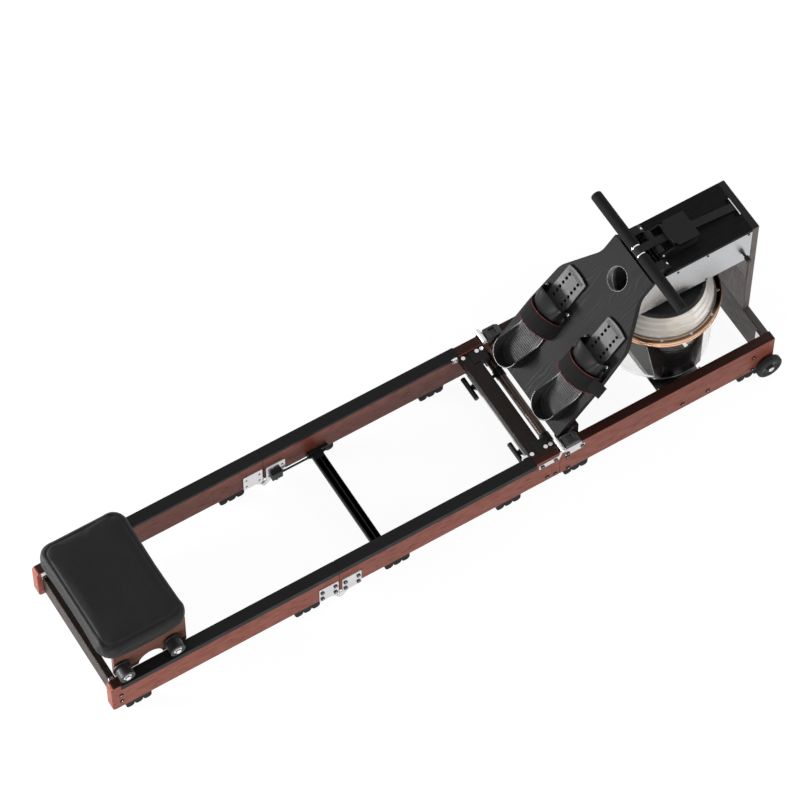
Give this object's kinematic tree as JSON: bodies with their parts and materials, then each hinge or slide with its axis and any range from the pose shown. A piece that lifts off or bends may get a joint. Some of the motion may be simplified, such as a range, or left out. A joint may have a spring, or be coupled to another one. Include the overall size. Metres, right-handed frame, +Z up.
{
  "type": "water rowing machine",
  "caption": "Folding wooden rowing machine with a water tank under its drive housing, a slanted footboard, a pull handle and a padded seat that rolls on capped rails.",
  "frame": {"origin": "on the floor, in the middle of the overall length and width", "axes": "+X along the rails towards the tank, +Y to the left of a rower who faces the tank, +Z up"},
  "size_m": [2.183, 0.509, 0.609],
  "materials": {
    "rail_wood": "satin lacquer",
    "post_wood": "satin lacquer",
    "dark_wood": "satin lacquer",
    "black_wood": "matte black stain with open grain",
    "carriage_wood": "satin lacquer",
    "bronze_tube": "gloss bronze",
    "black_plastic": "fine texture",
    "cap_plastic": "satin",
    "grey_plastic": "satin",
    "lid_board": "black stain",
    "alu": "brushed",
    "steel": "bright",
    "black_steel": "black powder coat",
    "chrome": "polished",
    "copper": "copper",
    "clear": "clear polycarbonate",
    "foot_rubber": "matte",
    "tyre": "matte",
    "strap": "woven",
    "padded": "padded",
    "grip": "foam",
    "blade": "translucent",
    "seat_skin": "matte synthetic leather",
    "roller_pu": "satin polyurethane"
  },
  "bodies": {
    "base": {"base_rails": "rail_wood", "front_post": "post_wood", "cross_board": "post_wood", "locking_tube": "bronze_tube", "tube_collars": "black_plastic", "housing_lid": "lid_board", "housing_sides": "alu", "lid_fittings": "black_plastic", "footboard": "black_wood", "board_cleats": "dark_wood", "tank_bowl": "clear", "tank_top": "clear", "tank_cover": "black_plastic", "clamp_ring": "copper", "tank_cradle": "black_plastic", "tank_tray": "black_steel", "drive_frame": "steel", "drive_strap": "strap", "front_hinge_base": "steel", "hinge_covers": "grey_plastic", "foot_brackets": "black_plastic", "foot_straps": "padded", "base_feet": "foot_rubber", "base_fixings": "steel"},
    "strap_pulley": {"strap_pulley": "black_plastic"},
    "guide_roller": {"guide_roller": "black_plastic"},
    "impeller": {"impeller": "blade", "strap_drum": "black_plastic"},
    "wheel_left": {"wheel_left": "tyre"},
    "wheel_right": {"wheel_right": "tyre"},
    "foot_plate_left": {"sole_left": "grey_plastic", "heel_cup_left": "black_plastic"},
    "foot_plate_right": {"sole_right": "grey_plastic", "heel_cup_right": "black_plastic"},
    "handle": {"handle_bar": "chrome", "handle_grips": "grip"},
    "phone_plate": {"phone_plate": "black_plastic"},
    "side_knob": {"side_knob": "black_plastic"},
    "mid_section": {"mid_rails": "rail_wood", "mid_caps": "cap_plastic", "mid_plank": "dark_wood", "front_hinge_mid": "steel", "mid_hinge_front": "steel", "latch_guides": "black_plastic", "mid_feet": "foot_rubber", "mid_fixings": "steel"},
    "release_bar": {"release_bar": "black_plastic"},
    "locking_pin_left": {"locking_pin_left": "black_steel"},
    "locking_pin_right": {"locking_pin_right": "black_steel"},
    "rear_section": {"rear_rails": "rail_wood", "rear_caps": "cap_plastic", "rear_crossbar": "dark_wood", "mid_hinge_rear": "steel", "rear_feet": "foot_rubber", "rear_fixings": "steel"},
    "seat": {"seat_pad": "seat_skin", "seat_carriage": "carriage_wood", "seat_axles": "chrome"},
    "rollers_front": {"rollers_front": "roller_pu"},
    "rollers_rear": {"rollers_rear": "roller_pu"}
  },
  "joints": [
    {"name": "front_fold", "type": "hinge", "parent": "base", "child": "mid_section", "pos_m": [0.3585, 0, 0.165], "axis": [0, 1, 0], "range_deg": [0, 90]},
    {"name": "mid_fold", "type": "hinge", "parent": "mid_section", "child": "rear_section", "pos_m": [-0.3695, 0, 0.016], "axis": [0, -1, 0], "range_deg": [0, 180]},
    {"name": "seat_slide", "type": "slide", "parent": "rear_section", "child": "seat", "axis": [-1, 0, 0], "range_m": [-1.1, 0]},
    {"name": "front_rollers_spin", "type": "hinge", "parent": "seat", "child": "rollers_front", "pos_m": [-0.8795, 0, 0.1763], "axis": [0, 1, 0], "range_deg": [-10, 2800]},
    {"name": "rear_rollers_spin", "type": "hinge", "parent": "seat", "child": "rollers_rear", "pos_m": [-1.0365, 0, 0.1763], "axis": [0, 1, 0], "range_deg": [-10, 2800]},
    {"name": "handle_pull", "type": "slide", "parent": "base", "child": "handle", "axis": [1, 0, 0], "range_m": [-1.05, 0], "stiffness_N_per_m": 25, "springref_m": 0.4, "deforming": ["drive_strap"]},
    {"name": "strap_pulley_spin", "type": "hinge", "parent": "base", "child": "strap_pulley", "pos_m": [1.0215, 0, 0.523], "axis": [0, 1, 0], "range_deg": [-2760, 10]},
    {"name": "guide_roller_spin", "type": "hinge", "parent": "base", "child": "guide_roller", "pos_m": [0.7845, 0, 0.583], "axis": [0, 1, 0], "range_deg": [-4560, 10]},
    {"name": "impeller_spin", "type": "hinge", "parent": "base", "child": "impeller", "pos_m": [0.8135, 0, 0.233], "axis": [0, 0, 1], "range_deg": [-1900, 10]},
    {"name": "wheel_left_spin", "type": "hinge", "parent": "base", "child": "wheel_left", "pos_m": [1.0505, 0.2395, 0.045], "axis": [0, 1, 0], "continuous": true},
    {"name": "wheel_right_spin", "type": "hinge", "parent": "base", "child": "wheel_right", "pos_m": [1.0505, -0.2395, 0.045], "axis": [0, 1, 0], "continuous": true},
    {"name": "foot_plate_left_slide", "type": "slide", "parent": "base", "child": "foot_plate_left", "axis": [0.6428, 0, 0.766], "range_m": [0, 0.064]},
    {"name": "foot_plate_right_slide", "type": "slide", "parent": "base", "child": "foot_plate_right", "axis": [0.6428, 0, 0.766], "range_m": [0, 0.064]},
    {"name": "phone_tilt", "type": "hinge", "parent": "base", "child": "phone_plate", "pos_m": [0.8255, 0, 0.591], "axis": [0, -1, 0], "range_deg": [0, 70]},
    {"name": "knob_turn", "type": "hinge", "parent": "base", "child": "side_knob", "pos_m": [1.0325, -0.1, 0.45], "axis": [0, 1, 0], "continuous": true},
    {"name": "locking_pin_left_pull", "type": "slide", "parent": "mid_section", "child": "locking_pin_left", "axis": [-1, 0, 0], "range_m": [0, 0.02], "stiffness_N_per_m": 600, "springref_m": -0.008},
    {"name": "locking_pin_right_pull", "type": "slide", "parent": "mid_section", "child": "locking_pin_right", "axis": [-1, 0, 0], "range_m": [0, 0.02], "stiffness_N_per_m": 600, "springref_m": -0.008},
    {"name": "release_bar_push", "type": "slide", "parent": "mid_section", "child": "release_bar", "axis": [1, 0, 0], "range_m": [0, 0.015], "stiffness_N_per_m": 600, "springref_m": -0.008}
  ],
  "couplings": [
    {"joint": "mid_fold", "follows": "front_fold", "ratio": 2},
    {"joint": "front_rollers_spin", "follows": "seat_slide", "rad_per_m": -43.478},
    {"joint": "rear_rollers_spin", "follows": "seat_slide", "rad_per_m": -43.478},
    {"joint": "strap_pulley_spin", "follows": "handle_pull", "rad_per_m": 44.444},
    {"joint": "guide_roller_spin", "follows": "handle_pull", "rad_per_m": 74.074},
    {"joint": "impeller_spin", "follows": "handle_pull", "rad_per_m": 30.769}
  ]
}
